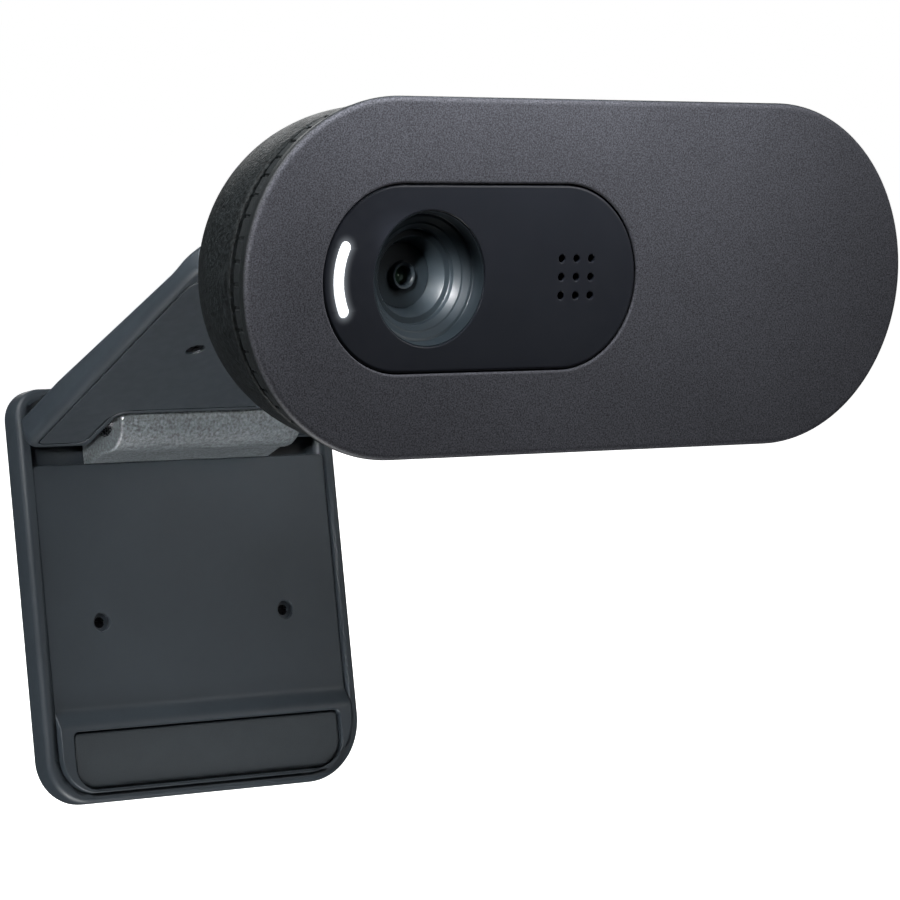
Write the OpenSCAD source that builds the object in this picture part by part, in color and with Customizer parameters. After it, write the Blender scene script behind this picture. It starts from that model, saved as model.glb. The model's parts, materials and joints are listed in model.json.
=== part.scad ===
// Clip-on webcam: a pill-shaped camera head that tilts on a flat clip arm,
// with a hinged leg that grips the back of a screen.
// Units are millimetres. X is to the right, the lens looks along -Y, Z is up.
// The origin is the middle of the arm's underside, the face that rests on the screen's top edge.

/* [Head] */
// Length of the pill-shaped face
head_w = 72.9; // [68:0.1:78]
// Height of the face
head_h = 31; // [30:0.1:33]
// Depth of the front cover's side band
cover_d = 2.5; // [2.4:0.1:3.2]
// Radius of the face's rounded edge
face_edge = 0.8; // [0.4:0.1:1]
// Depth of the domed back, behind the seam
dome_d = 11; // [10.5:0.1:12]
// How far the dome draws in on its way to the flat back
dome_in = 8; // [7:0.1:8.5]
// Wall thickness of the head's shells
wall = 1.5; // [1.3:0.1:1.6]

/* [Window] */
// Length of the satin window in the face
window_w = 33.6; // [32:0.1:35]
// Height of the window
window_h = 16.3; // [16:0.1:17]
// Distance from the middle of the face to the middle of the window
window_off = 11.8; // [11:0.1:12.5]
// How far the window lies below the face
window_sink = 0.3; // [0.2:0.05:0.5]
// Distance from the middle of the face to the lens axis
lens_off = 17.5; // [17.3:0.1:17.7]
// Radius of the lens opening
lens_r = 5.85; // [5.6:0.05:6]
// Distance from the middle of the face to the middle of the microphone holes
mic_off = 1.7; // [1.5:0.1:2]
// Distance between microphone holes
mic_pitch = 1.62; // [1.5:0.01:1.7]
// Radius of one microphone hole
mic_r = 0.36; // [0.3:0.01:0.45]

/* [Arm] */
// Slope of the arm while the face stands upright, in degrees
arm_rise = 33.2; // [31:0.1:35]
// Width of the arm
arm_w = 38.2; // [37.5:0.1:38.5]
// Thickness of the arm at the leg hinge
arm_rear_t = 2.9; // [2.8:0.05:3]
// Thickness of the arm at its thin front end
arm_front_t = 1.8; // [1.75:0.05:1.9]
// Distance from the origin back to the leg hinge
hinge_back = 15.4; // [15:0.1:15.8]
// Distance from the origin forward to the tilt pivot
pivot_fwd = 32.5; // [32:0.1:33]
// Height of the tilt pivot above the arm's underside
pivot_up = 1.9; // [1.8:0.05:2]

/* [Leg] */
// Swing of the leg from straight down, in degrees
leg_lean = 12.7; // [10:0.1:15]
// Width of the leg
leg_w = 36.5; // [36.4:0.1:37]
// Length of the leg below the hinge axis
leg_len = 37.8; // [37.5:0.1:39]
// Radius of the leg's lower corner on the lens side
corner_a = 4.6; // [4:0.1:7]
// Radius of the leg's other lower corner
corner_b = 6.6; // [4:0.1:7]
// Length of the rubber pad
pad_w = 31.6; // [30:0.1:32]
// Radius of the hinge knuckle
knuckle_r = 3.4; // [3.3:0.05:3.45]

/* [Hidden] */
$fn = 64;
eps = 0.01;

// head, measured from the middle of the face: Y runs back from the face
head_fwd = 50;
head_up = 11.52;
head_r = head_h / 2;
head_run = head_w - head_h;
seam = 0.35;
dome_r = head_r - 0.25;
dome_start = cover_d + seam;
back_y = dome_start + dome_d;
face_t = 1.5;
lip_t = 1;
window_gap = 0.15;
window_run = window_w - window_h;
window_r = window_h / 2;
flange_back = 2.3;
light_x = -window_off - window_run / 2;
light_ring_r = window_r - 1.25;
light_w = 1.3;
light_half_angle = 28;

// electronics, with the depth of the flat disc around the lens
disc_y = 4.37;
board_y = 7.9;
board_t = 1;
board_w = 56;
board_h = 22;
board_screw_at = [[5, 8], [5, -8], [24, 0]];
case_screw_x = 31;
mic_capsule_r = 2.2;
gland_x = 22.5;
gland_z = -1;
gland_out = 1.5;
cord_bore_r = 1.9;

// tilt pivot, measured on the arm and then from the middle of the face
barrel_half = 7.6;
washer_t = 0.7;
lug_in = barrel_half + washer_t + 0.1;
lug_t = 4;
pivot_r = 3.3;
tilt_pin_r = 1;
fit = 0.03;
pivot_y = -pivot_fwd * cos(arm_rise) + pivot_up * sin(arm_rise);
pivot_z = pivot_fwd * sin(arm_rise) + pivot_up * cos(arm_rise);
tilt_y = pivot_y + head_fwd;
tilt_z = pivot_z - head_up;

// leg hinge, measured on the arm and then from the origin
hinge_up = arm_rear_t / 2;
hinge_y = hinge_back * cos(arm_rise) + hinge_up * sin(arm_rise);
hinge_z = -hinge_back * sin(arm_rise) + hinge_up * cos(arm_rise);
hinge_pin_r = 0.8;
sleeve_r = 1.7;
ear_in = 11.2;
ear_end = hinge_back + 3.3;
knuckle_half = 10.8;
swing_gap = 0.3;

// arm plate
arm_half = arm_w / 2;
plate_front = -21;
fillet_start = -14;
arm_panel_half = 17.3;
arm_panel_front = -12;
arm_panel_back = 11;
arm_panel_t = 0.9;
panel_gap = 0.12;
arm_screw_x = 10.1;
arm_screw_y = -1.95;
screw_hole_r = 0.95;
screw_head_r = 0.85;
screw_shank_r = 0.5;

// leg, measured from the hinge axis: Y runs back through the leg and Z up along it
leg_half = leg_w / 2;
leg_face = 3.49;
leg_panel_t = 1.3;
leg_floor = 5.45;
leg_back = 6.85;
leg_top = 3.7;
leg_rim = 0.7;
leg_panel_top = -3.98;
leg_panel_half = leg_half - leg_rim;
leg_panel_len = leg_len - 0.9;
ramp_top = -28.2;
ramp_end = -30.4;
ramp_up = 0.95;
pad_top = -30.75;
pad_bottom = -36.3;
pad_r = 3.4;
pad_front = leg_face - ramp_up + 0.35;
pad_depth = 1.2;
leg_screw_x = 11;
leg_screw_z = -19.9;

head_colour = [0.2, 0.2, 0.22];
shell_colour = [0.13, 0.13, 0.14];
window_colour = [0.09, 0.1, 0.13];
clip_colour = [0.2, 0.22, 0.24];
rubber_colour = [0.15, 0.16, 0.17];
steel_colour = [0.75, 0.75, 0.77];
board_colour = [0.05, 0.25, 0.15];
glass_colour = [0.2, 0.3, 0.35];
chip_colour = [0.1, 0.1, 0.1];
light_colour = [1, 1, 1];

// ---- frames

module head_frame() translate([0, -head_fwd, head_up]) children();

module arm_frame() rotate([-arm_rise, 0, 0]) children();

module leg_frame() translate([0, hinge_y, hinge_z]) rotate([-leg_lean, 0, 0]) children();

// ---- helpers

// a cylinder that runs back along Y from y0 to y1
module rod_y(r, x, z, y0, y1) translate([x, y0, z]) rotate([-90, 0, 0]) cylinder(r = r, h = y1 - y0);

// a cylinder along X from x0 to x1
module rod_x(r, y, z, x0, x1) translate([x0, y, z]) rotate([0, 90, 0]) cylinder(r = r, h = x1 - x0);

// a 2D profile of (height, depth) carried round a pill outline whose straight part is run long
module pill(run) {
    for (side = [-1, 1])
        translate([side * run / 2, 0, 0]) rotate([-90, 0, 0]) rotate_extrude($fn = 96) children();
    rotate([0, -90, 0]) linear_extrude(run, center = true) {
        children();
        mirror([1, 0]) children();
    }
}

// a pill-shaped plate from depth y0 to y1
module pill_plate(run, r, y0, y1, x = 0)
    translate([x, 0, 0]) pill(run) translate([0, y0]) square([r, y1 - y0]);

// a profile in the YZ plane, as points of [y, z], extruded from x0 to x1
module profile_x(points, x0, x1)
    translate([x0, 0, 0]) rotate([90, 0, 90]) linear_extrude(x1 - x0) polygon(points);

// quarter of an ellipse from the seam to the flat back, as points of [height, depth]
function dome_arc(r, start, drop, depth, steps = 14) =
    [for (i = [0:steps]) [r - drop * (1 - cos(90 * i / steps)), start + depth * sin(90 * i / steps)]];

// a flat outline with its own radius at each lower corner and small upper corners
module leg_outline(half, top, bottom, ra, rb, rt) {
    hull() {
        translate([-half + ra, bottom + ra]) circle(ra, $fn = 64);
        translate([half - rb, bottom + rb]) circle(rb, $fn = 64);
        for (side = [-1, 1]) translate([side * (half - rt), top - rt]) circle(rt, $fn = 48);
    }
}

// that outline as a plate between two depths
module leg_plate(half, top, bottom, ra, rb, rt, y0, y1)
    translate([0, y1, 0]) rotate([90, 0, 0]) linear_extrude(y1 - y0)
        leg_outline(half, top, bottom, ra, rb, rt);

// ---- head

module cover_solid() {
    steps = 6;
    pill(head_run) polygon(concat(
        [[0, 0]],
        [for (i = [0:steps]) [
            head_r - face_edge + face_edge * sin(90 * i / steps),
            face_edge - face_edge * cos(90 * i / steps)
        ]],
        [[head_r, cover_d], [0, cover_d]]
    ));
}

module front_cover() color(head_colour) head_frame() {
    difference() {
        cover_solid();
        pill_plate(head_run, head_r - wall, face_t, cover_d + 1);
        pill_plate(window_run, window_r, -1, cover_d + 1, -window_off);
    }
    for (at = board_screw_at) difference() {
        rod_y(1.9, at[0], at[1], face_t - eps, board_y - 0.02);
        rod_y(0.7, at[0], at[1], face_t + 1.5, board_y + 1);
    }
    for (side = [-1, 1]) difference() {
        rod_y(1.9, side * case_screw_x, 0, face_t - eps, 8);
        rod_y(0.8, side * case_screw_x, 0, face_t + 1.5, 9);
    }
}

module dome_profile(r, start, drop, depth)
    polygon(concat([[0, start]], dome_arc(r, start, drop, depth), [[0, start + depth]]));

module tilt_lug(x0, x1) {
    profile_x([
        [back_y - 3.5, tilt_z - 9.5], [back_y, tilt_z - 9.5], [tilt_y - 1.2, tilt_z - pivot_r + 0.22],
        [tilt_y - 1.2, tilt_z + pivot_r - 0.22], [back_y - 3.5, tilt_z + 3.4]
    ], x0, x1);
    rod_x(pivot_r, tilt_y, tilt_z, x0, x1);
}

module rear_shell() color(shell_colour) head_frame() {
    difference() {
        union() {
            pill(head_run) dome_profile(dome_r, dome_start, dome_in, dome_d);
            pill_plate(head_run, head_r - wall - 0.1, dome_start - 1.1, dome_start + eps);
            for (x0 = [lug_in, -lug_in - lug_t]) tilt_lug(x0, x0 + lug_t);
        }
        pill_plate(head_run, head_r - wall - 0.1 - lip_t, 0, dome_start + 0.5);
        pill(head_run) dome_profile(dome_r - wall, dome_start + 0.4, dome_in - 0.6, dome_d - wall - 0.4);
        rod_x(tilt_pin_r + 0.01, tilt_y, tilt_z, -lug_in - lug_t - 1, lug_in + lug_t + 1);
        rod_y(2.4, gland_x, gland_z, back_y - wall - 1, back_y + 1);
        for (side = [-1, 1]) {
            rod_y(2, side * case_screw_x, 0, 9.8, back_y + 1);
            rod_y(1.05, side * case_screw_x, 0, 7, 11);
        }
    }
    for (side = [-1, 1]) difference() {
        rod_y(2.5, side * case_screw_x, 0, 8.1, 10.9);
        rod_y(2, side * case_screw_x, 0, 9.8, 11.2);
        rod_y(1.05, side * case_screw_x, 0, 7, 11);
    }
}

// a bent bar with round ends that follows the window's left end, half_w either side of its line
module light_arc(half_w, y0, y1) translate([light_x, y0, 0]) rotate([-90, 0, 0]) {
    rotate([0, 0, 180 - light_half_angle]) rotate_extrude(angle = 2 * light_half_angle, $fn = 128)
        translate([light_ring_r - half_w, 0]) square([2 * half_w, y1 - y0]);
    for (side = [-1, 1]) rotate([0, 0, 180 + side * light_half_angle])
        translate([light_ring_r, 0, 0]) cylinder(r = half_w, h = y1 - y0, $fn = 32);
}

module window_panel() color(window_colour) head_frame() difference() {
    union() {
        pill_plate(window_run, window_r - window_gap, window_sink, flange_back - eps, -window_off);
        pill_plate(window_run, window_r + 0.4, face_t + 0.02, flange_back, -window_off);
    }
    rod_y(lens_r, -lens_off, 0, -1, 3);
    light_arc(light_w / 2 + 0.03, -1, 3);
    for (i = [-1:1], j = [-1:1])
        rod_y(mic_r, -mic_off + i * mic_pitch, j * mic_pitch, -1, 3);
}

module light_pipe() color(light_colour) head_frame()
    light_arc(light_w / 2, window_sink, board_y - 1.1);

// a wall, two stepped cones and a long cone that lead down to the flat disc around the lens
module lens_hood() color(window_colour) lens_round(window_sink) polygon([
    [lens_r - 0.03, 0.1], [lens_r - 0.1, 0.1], [5.5, 1.15], [5.25, 1.2], [4.75, 1.65], [4.6, 1.7],
    [4.2, 2.1], [4.1, 2.6], [3.5, 2.65], [2.85, disc_y - window_sink], [3.6, disc_y - window_sink],
    [lens_r - 0.03, 2.4]
]);

// a round part on the lens axis, from a section of (radius, distance behind depth y)
module lens_round(y = disc_y) head_frame() translate([-lens_off, y, 0]) rotate([-90, 0, 0])
    rotate_extrude($fn = 96) children();

module lens_barrel() color(chip_colour) lens_round()
    polygon([[2.2, 0.15], [3.3, 0.15], [3.3, 2.4], [1.6, 2.4], [1.6, 1.25], [2.2, 1.25]]);

module lens_retainer() color(chip_colour) lens_round() polygon([
    [1.05, 0], [2.8, 0], [2.8, 0.13], [2.15, 0.13], [2.15, 0.4], [0.85, 0.4]
]);

module front_lens() color(glass_colour) lens_round()
    polygon(concat([for (i = [0:8]) [2.1 * i / 8, 0.47 + 0.2 * pow(i / 8, 2)]], [[2.1, 1.2], [0, 1.2]]));

module rear_lens() color(glass_colour) lens_round() translate([0, 1.7]) square([1.57, 0.6]);

module lens_holder() color(chip_colour) head_frame() difference() {
    union() {
        rod_y(4.2, -lens_off, 0, board_y - 2.2, board_y - 1.6);
        translate([-lens_off - 4.6, board_y - 1.7, -4.6]) cube([9.2, 1.68, 9.2]);
    }
    rod_y(3.35, -lens_off, 0, board_y - 3, board_y - 1.08);
    rod_y(2.1, -lens_off, 0, board_y - 3, board_y);
    translate([-lens_off - 2.8, board_y - 0.85, -2.8]) cube([5.6, 3, 5.6]);
}

module ir_filter() color(glass_colour) head_frame()
    rod_y(2.7, -lens_off, 0, board_y - 0.83, board_y - 0.55);

module image_sensor() color(chip_colour) head_frame()
    translate([-lens_off - 2.2, board_y - 0.47, -1.8]) cube([4.4, 0.45, 3.6]);

module main_board() color(board_colour) head_frame() difference() {
    pill_plate(board_w - board_h, board_h / 2, board_y, board_y + board_t);
    for (at = board_screw_at) rod_y(0.9, at[0], at[1], board_y - 1, board_y + 2);
}

module controller_chip() color(chip_colour) head_frame()
    translate([-5.5, board_y + board_t + 0.02, -3.5]) cube([7, 0.9, 7]);

module clock_crystal() color(steel_colour) head_frame()
    translate([5, board_y + board_t + 0.02, 2.5]) cube([3.2, 0.7, 2.5]);

module status_led() color(light_colour) head_frame()
    translate([light_x - light_ring_r - 0.5, board_y - 0.75, -0.9]) cube([1, 0.73, 1.8]);

module microphone() color(steel_colour) head_frame()
    rod_y(mic_capsule_r, -mic_off, 0, board_y - 1.9, board_y - 0.02);

module mic_gasket() color(rubber_colour) head_frame() difference() {
    rod_y(mic_capsule_r + 1, -mic_off, 0, flange_back + 0.02, board_y - 0.02);
    rod_y(mic_capsule_r + 0.05, -mic_off, 0, flange_back - 1, board_y + 1);
}

module board_connector() color([0.85, 0.83, 0.75]) head_frame() difference() {
    translate([12, board_y + board_t + 0.02, -8]) cube([8, 2.6, 3.2]);
    translate([12.8, board_y + board_t + 0.6, -7.4]) cube([6.4, 3, 2]);
}

// a pan-head screw that is driven along -Y, with a cross recess in its head
module screw_y(x, z, under_head, head_r, head_h, shank_r, length) difference() {
    union() {
        rod_y(head_r, x, z, under_head, under_head + head_h);
        rod_y(shank_r, x, z, under_head - length, under_head + eps);
    }
    for (turn = [0, 90]) translate([x, under_head + head_h, z]) rotate([0, turn, 0])
        cube([head_r * 1.2, head_h, head_r * 0.28], center = true);
}

module board_screws() color(steel_colour) head_frame()
    for (at = board_screw_at) screw_y(at[0], at[1], board_y + board_t + 0.02, 1.5, 0.9, 0.68, 4.5);

module case_screws() color(steel_colour) head_frame()
    for (side = [-1, 1]) screw_y(side * case_screw_x, 0, 9.82, 1.7, 1, 0.78, 5.5);

module cable_gland() color(rubber_colour) head_frame() translate([gland_x, 0, gland_z]) rotate([-90, 0, 0])
    rotate_extrude() polygon([
        [cord_bore_r, back_y - wall - 1], [3.1, back_y - wall - 1], [3.1, back_y - wall - 0.05],
        [2.38, back_y - wall - 0.05], [2.38, back_y + 0.05], [3.3, back_y + 0.05], [3.3, back_y + 0.7],
        [2.9, back_y + gland_out], [cord_bore_r, back_y + gland_out]
    ]);

module tilt_pin() color(steel_colour) head_frame() difference() {
    rod_x(tilt_pin_r, tilt_y, tilt_z, -lug_in - lug_t, lug_in + lug_t);
    rod_x(0.4, tilt_y, tilt_z, lug_in + lug_t - 0.6, lug_in + lug_t + 1);
}

module tilt_washers() color(steel_colour) head_frame() difference() {
    for (x0 = [barrel_half + 0.05, -barrel_half - 0.05 - washer_t])
        rod_x(2.9, tilt_y, tilt_z, x0, x0 + washer_t);
    rod_x(tilt_pin_r + 0.02, tilt_y, tilt_z, -20, 20);
}

// ---- arm, measured from the middle of its underside: Y runs back towards the leg hinge

// the plate thickens towards the hinge, and sweeps up to the barrel at the front
function arm_top(y) = min(
    pivot_up + pivot_r - 0.1,
    arm_front_t
        + (arm_rear_t - arm_front_t) * max(0, min(1, (y - fillet_start) / (hinge_back - 6 - fillet_start)))
        + 0.021 * pow(max(0, fillet_start - y), 2)
);

arm_profile = concat(
    [[-pivot_fwd, pivot_up - pivot_r + 0.9], [-pivot_fwd + 4, 0], [ear_end - 1, 0], [ear_end, 0.9]],
    [[ear_end, arm_rear_t - 0.9], [ear_end - 1, arm_rear_t]],
    [for (y = [hinge_back - 6:-2:-pivot_fwd]) [y, arm_top(y)]],
    [[-pivot_fwd, pivot_up + pivot_r - 0.1]]
);

// outline seen along the arm's normal: a full-width plate with shoulders that draw in to the pivot barrel
module arm_plan() {
    hull() {
        for (side = [-1, 1]) {
            translate([side * (arm_half - 2), ear_end - 2]) circle(2, $fn = 32);
            translate([side * (arm_half - 5), plate_front + 5]) circle(5, $fn = 48);
        }
    }
    translate([-barrel_half, -pivot_fwd - pivot_r]) square([2 * barrel_half, 20]);
    for (side = [-1, 1]) difference() {
        translate([side > 0 ? barrel_half - 0.1 : -barrel_half - 4, plate_front - 4]) square([4.1, 5]);
        translate([side * (barrel_half + 4), plate_front - 4]) circle(4, $fn = 48);
    }
}

module arm_panel_plan(gap) {
    r = 1.5;
    half = arm_panel_half - gap;
    front = arm_panel_front + gap;
    back = arm_panel_back - gap;
    translate([-half + r, front]) square([2 * (half - r), back - front]);
    translate([-half, front + r]) square([2 * half, back - front - 2 * r]);
    for (sx = [-1, 1], at = [front + r, back - r]) translate([sx * (half - r), at]) circle(r, $fn = 32);
}

module arm_shell() color(clip_colour) arm_frame() {
    difference() {
        union() {
            intersection() {
                profile_x(arm_profile, -30, 30);
                translate([0, 0, -5]) linear_extrude(20) arm_plan();
            }
            rod_x(pivot_r, -pivot_fwd, pivot_up, -barrel_half, barrel_half);
        }
        translate([0, 0, -5]) linear_extrude(5 + arm_panel_t + 0.05) arm_panel_plan(0);
        translate([-ear_in, hinge_back - knuckle_r - 0.1, -5]) cube([2 * ear_in, 20, 20]);
        rod_x(knuckle_r + swing_gap, hinge_back, hinge_up, -ear_in, ear_in);
        rod_x(hinge_pin_r + 0.01, hinge_back, hinge_up, -17.7, 17.7);
        rod_x(tilt_pin_r + fit, -pivot_fwd, pivot_up, -20, 20);
        for (side = [-1, 1]) translate([side * arm_screw_x, arm_screw_y, 0])
            cylinder(r = screw_shank_r + 0.02, h = 1.75);
    }
}

module arm_panel() color(clip_colour) arm_frame() difference() {
    linear_extrude(arm_panel_t) arm_panel_plan(panel_gap);
    for (side = [-1, 1]) translate([side * arm_screw_x, arm_screw_y, 0]) {
        translate([0, 0, -1]) cylinder(r = screw_hole_r, h = 1.55);
        cylinder(r = screw_shank_r + 0.05, h = 5);
    }
}

module arm_screws() color(steel_colour) arm_frame()
    for (side = [-1, 1]) translate([side * arm_screw_x, arm_screw_y, 0]) difference() {
        union() {
            translate([0, 0, 0.25]) cylinder(r = screw_head_r, h = 0.28);
            translate([0, 0, 0.5]) cylinder(r = screw_shank_r, h = 1.2);
        }
        for (turn = [0, 90]) rotate([0, 0, turn]) translate([0, 0, 0.25])
            cube([1.1, 0.24, 0.3], center = true);
    }

module hinge_pin() color(steel_colour) arm_frame()
    rod_x(hinge_pin_r, hinge_back, hinge_up, -17.65, 17.65);

// ---- leg

module leg_shell() color(clip_colour) leg_frame() difference() {
    union() {
        difference() {
            leg_plate(leg_half, leg_top, -leg_len, corner_a, corner_b, 3, leg_face - 0.25, leg_back);
            leg_plate(leg_panel_half, leg_top + 5, -leg_panel_len, corner_a - leg_rim, corner_b - leg_rim,
                1.5, 0, leg_floor);
        }
        for (side = [-1, 1])
            rod_y(2, side * leg_screw_x, leg_screw_z, leg_face + leg_panel_t + 0.02, leg_floor + 0.5);
    }
    rod_x(knuckle_r + swing_gap + 0.15, 0, 0, -30, 30);
    for (side = [-1, 1]) rod_y(screw_shank_r + 0.02, side * leg_screw_x, leg_screw_z, 0, leg_back - 0.5);
}

// the panel steps forward below the ramp, where the pad sits
leg_panel_section = [
    [leg_face, leg_panel_top], [leg_face, ramp_top], [leg_face - ramp_up, ramp_end],
    [leg_face - ramp_up, -leg_panel_len - 1], [leg_face + leg_panel_t, -leg_panel_len - 1],
    [leg_face + leg_panel_t, leg_panel_top]
];

module leg_panel() color(clip_colour) leg_frame() {
    difference() {
        union() {
            intersection() {
                profile_x(leg_panel_section, -30, 30);
                leg_plate(leg_panel_half - panel_gap, leg_panel_top, -leg_panel_len + panel_gap,
                    corner_a - leg_rim, corner_b - leg_rim, 0.3, 0, leg_floor);
            }
            profile_x([
                [0.9, 0.1 - knuckle_r], [leg_face, leg_panel_top],
                [leg_face + leg_panel_t, leg_panel_top], [leg_face + leg_panel_t, -0.6], [2.8, 1.4], [0, 0]
            ], -knuckle_half, knuckle_half);
            rod_x(knuckle_r, 0, 0, -knuckle_half, knuckle_half);
        }
        rod_x(sleeve_r + 0.01, 0, 0, -20, 20);
        leg_plate(pad_w / 2 + 0.15, pad_top + 0.15, pad_bottom - 0.15, pad_r + 0.15, pad_r + 0.15, 0.65,
            0, pad_front + pad_depth);
        for (side = [-1, 1]) {
            rod_y(screw_hole_r, side * leg_screw_x, leg_screw_z, 0, leg_face + 1);
            rod_y(screw_shank_r + 0.05, side * leg_screw_x, leg_screw_z, 0, leg_face + 3);
        }
    }
}

module leg_pad() color(rubber_colour) leg_frame()
    leg_plate(pad_w / 2, pad_top, pad_bottom, pad_r, pad_r, 0.5, pad_front, pad_front + pad_depth - 0.02);

module leg_screws() color(steel_colour) leg_frame() for (side = [-1, 1]) difference() {
    union() {
        rod_y(screw_head_r, side * leg_screw_x, leg_screw_z, leg_face + 0.6, leg_face + 0.98);
        rod_y(screw_shank_r, side * leg_screw_x, leg_screw_z, leg_face + 0.9, leg_back - 0.6);
    }
    for (turn = [0, 90]) translate([side * leg_screw_x, leg_face + 0.6, leg_screw_z]) rotate([0, turn, 0])
        cube([1.1, 0.3, 0.24], center = true);
}

module hinge_sleeves() color(steel_colour) leg_frame() difference() {
    for (x0 = [3.5, -10.5]) rod_x(sleeve_r, 0, 0, x0, x0 + 7);
    rod_x(hinge_pin_r + fit, 0, 0, -20, 20);
}

front_cover();
rear_shell();
window_panel();
light_pipe();
lens_hood();
lens_barrel();
lens_retainer();
front_lens();
rear_lens();
lens_holder();
ir_filter();
image_sensor();
main_board();
controller_chip();
clock_crystal();
status_led();
microphone();
mic_gasket();
board_connector();
board_screws();
case_screws();
cable_gland();
tilt_pin();
tilt_washers();
arm_shell();
arm_panel();
arm_screws();
hinge_pin();
leg_shell();
leg_panel();
leg_pad();
leg_screws();
hinge_sleeves();
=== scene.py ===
"""Looks for the clip-on webcam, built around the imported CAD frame.

Each piece is made in millimetres in the frame of its own body (head, arm or leg), where depth runs back from the
surface that the lens side shows.
"""

import json
import math

import bmesh
import bpy
from mathutils import Matrix, Vector


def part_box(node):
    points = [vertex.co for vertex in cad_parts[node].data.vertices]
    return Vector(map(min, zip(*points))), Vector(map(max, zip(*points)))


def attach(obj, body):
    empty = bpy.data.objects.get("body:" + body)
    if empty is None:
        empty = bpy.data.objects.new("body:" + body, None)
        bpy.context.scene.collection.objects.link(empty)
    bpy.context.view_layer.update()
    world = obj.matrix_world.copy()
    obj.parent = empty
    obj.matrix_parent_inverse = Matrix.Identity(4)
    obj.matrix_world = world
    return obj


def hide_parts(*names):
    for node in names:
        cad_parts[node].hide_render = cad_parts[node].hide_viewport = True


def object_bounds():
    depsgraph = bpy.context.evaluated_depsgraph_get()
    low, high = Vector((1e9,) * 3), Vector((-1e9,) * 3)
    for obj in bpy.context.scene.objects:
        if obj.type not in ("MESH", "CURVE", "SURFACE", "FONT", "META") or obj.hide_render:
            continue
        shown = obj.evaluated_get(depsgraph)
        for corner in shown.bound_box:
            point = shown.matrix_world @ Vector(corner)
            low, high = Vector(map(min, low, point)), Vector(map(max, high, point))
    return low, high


MM = 0.001

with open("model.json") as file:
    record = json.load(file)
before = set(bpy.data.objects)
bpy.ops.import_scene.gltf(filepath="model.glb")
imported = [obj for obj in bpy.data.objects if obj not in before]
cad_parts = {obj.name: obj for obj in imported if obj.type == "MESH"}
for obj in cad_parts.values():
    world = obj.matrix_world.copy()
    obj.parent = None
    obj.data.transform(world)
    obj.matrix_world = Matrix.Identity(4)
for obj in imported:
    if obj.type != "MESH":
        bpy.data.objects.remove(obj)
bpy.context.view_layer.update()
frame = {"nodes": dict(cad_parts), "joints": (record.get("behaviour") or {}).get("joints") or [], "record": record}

JOINTS = {j["name"]: j for j in frame["joints"]}
MOUNTS = {m["name"]: m for m in frame["record"]["mounts"]}


# ---- frames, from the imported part

def tilted(origin_m, angle_deg):
    """A frame at origin_m whose local Y and Z are turned about X by minus angle_deg, in millimetres."""
    return Matrix.Translation(origin_m) @ Matrix.Rotation(math.radians(-angle_deg), 4, "X") @ Matrix.Scale(MM, 4)


def slope_of(mount):
    axis = MOUNTS[mount]["axis"]
    return math.degrees(math.atan2(-axis[1], -axis[2]))


FACE_LOW, FACE_HIGH = (Vector(corner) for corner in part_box("front_cover"))
FACE_CENTRE = Vector(((FACE_LOW.x + FACE_HIGH.x) / 2, FACE_LOW.y, (FACE_LOW.z + FACE_HIGH.z) / 2))
ARM_RISE = slope_of("monitor_rest")
LEG_LEAN = slope_of("leg_grip") - 90
HEAD = tilted(FACE_CENTRE, 0)
ARM = tilted((0, 0, 0), ARM_RISE)
LEG = tilted(JOINTS["leg_swing"]["pos_m"], LEG_LEAN)


def in_frame(matrix, point_m):
    return matrix.inverted() @ Vector(point_m)


# ---- driving sizes, in millimetres

HEAD_W = (FACE_HIGH.x - FACE_LOW.x) / MM
HEAD_H = (FACE_HIGH.z - FACE_LOW.z) / MM
HEAD_R = HEAD_H / 2
HEAD_RUN = HEAD_W - HEAD_H
WALL = 1.5
FACE_EDGE = 0.52
BAND_D = 1.45
TAPER = 0.26
GROOVE = 0.62
COVER_D = 2.5
DOME_START = COVER_D + 0.2
BACK_Y = 13.85
DOME_D = BACK_Y - DOME_START
DOME_R = HEAD_R - 0.9
DOME_RUN = HEAD_RUN + 1.3
DOME_IN = 6.6

WINDOW_RUN = 17.3
WINDOW_R = 8.15
WINDOW_X = -11.8
WINDOW_SINK = 0.16
LENS_X = -17.5
LENS_R = 5.85
DISC_Y = 4.37
LIGHT_X = WINDOW_X - WINDOW_RUN / 2
LIGHT_RING = WINDOW_R - 1.7
LIGHT_HALF_W = 0.52
LIGHT_HALF_ANGLE = 24.7
TOOTH_PITCH = 1.9
TOOTH_ACROSS = (-0.8, -0.27, 0.27, 0.8)
CASE_SCREW_X = 31
BORE_R = 2
BORE_FLOOR = 9.8

MIC_X = -1.7
MIC_PITCH = 1.62
MIC_R = 0.36

PIVOT = in_frame(ARM, JOINTS["head_tilt"]["pos_m"])
TILT = in_frame(HEAD, JOINTS["head_tilt"]["pos_m"])
PIVOT_R = 3.3
BARREL_HALF = 7.6
LUG_IN = 8.4
LUG_T = 4

HINGE = in_frame(ARM, JOINTS["leg_swing"]["pos_m"])
ARM_HALF = 19.1
ARM_FRONT_T = 1.8
ARM_REAR_T = 2.9
EAR_IN = 11.2
EAR_END = HINGE.y + 3.3
ARM_PANEL_MARGIN = 1.15
ARM_PANEL_FRONT = -16
ARM_PANEL_T = 0.55
ARM_SCREWS = [(-10.1, -1.95), (10.1, -1.95)]
FLAT_T = 10             # the arm's thickness before it is bent to shape
KNUCKLE_R = 3.4
KNUCKLE_HALF = 10.8

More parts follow.
